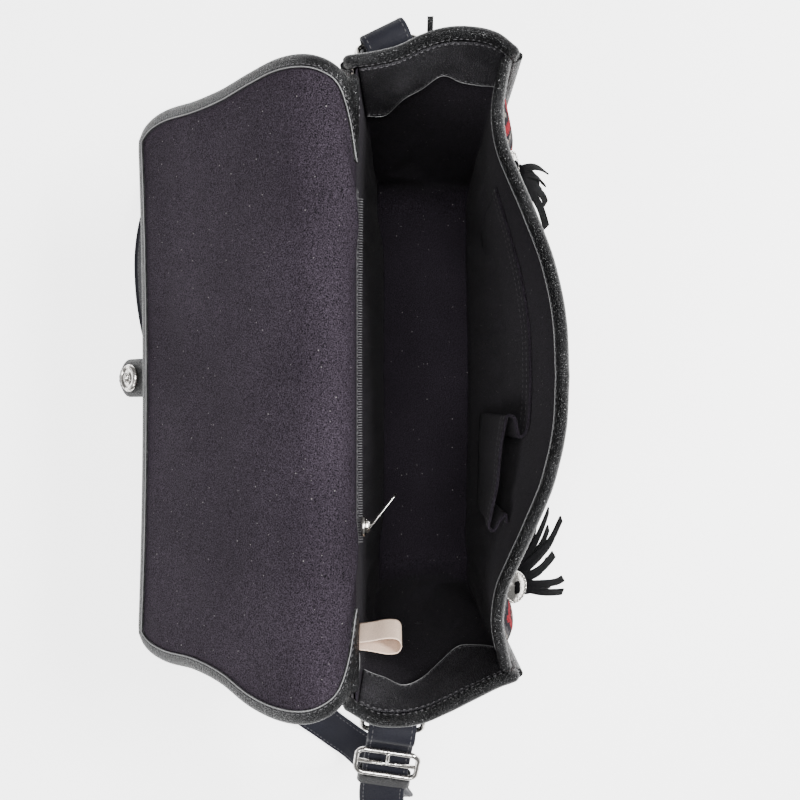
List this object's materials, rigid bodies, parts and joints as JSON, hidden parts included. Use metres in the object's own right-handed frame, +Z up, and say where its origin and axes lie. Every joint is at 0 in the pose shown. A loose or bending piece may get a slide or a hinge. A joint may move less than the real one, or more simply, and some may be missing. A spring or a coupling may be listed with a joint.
{
  "type": "shoulder bag",
  "caption": "Patterned woven shoulder bag with leather trim, standing open with its flap thrown back to show a lined inside with a zip and a slip pocket.",
  "frame": {"origin": "middle of the underside, where the base rests", "axes": "+Z up, +X towards the bag's right end as seen from its front, the front panel faces -Y"},
  "size_m": [0.5451, 0.3132, 0.2537],
  "materials": {
    "jacquard": "woven pattern in red, black and grey",
    "leather": "smooth black, satin",
    "strap_leather": "smooth blue-black, satin",
    "lining_cloth": "black twill, matt",
    "zip_nylon": "black coil on woven tape",
    "nickel": "soft polished silver",
    "label_cloth": "cream, folded, blank"
  },
  "bodies": {
    "root": {"front_panel": "jacquard", "back_panel": "jacquard", "gusset_right": "leather", "gusset_left": "leather", "base_panel": "leather", "lining": "lining_cloth", "facing_right": "leather", "facing_left": "leather", "binding_front_rim": "leather", "binding_gusset_right": "leather", "binding_gusset_left": "leather", "binding_back_right": "leather", "binding_back_left": "leather", "seam_front": "leather", "seam_back": "leather", "flap_lining": "lining_cloth", "flap": "jacquard", "binding_flap": "leather", "zip_tape": "zip_nylon", "zip_coil": "zip_nylon", "zip_slider": "nickel", "zip_pull": "nickel", "slip_pocket": "lining_cloth", "care_label": "label_cloth", "closure_tab": "leather", "magnet_socket": "nickel", "snap_stud": "nickel", "concho_right": "nickel", "tassel_right": "leather", "concho_left": "nickel", "tassel_left": "leather", "strap_tab_right": "leather", "strap_ring_right": "nickel", "strap_tab_left": "leather", "strap_ring_left": "nickel", "shoulder_strap": "strap_leather", "strap_buckle": "nickel", "strap_keeper": "leather", "lace_end": "leather"}
  },
  "joints": []
}
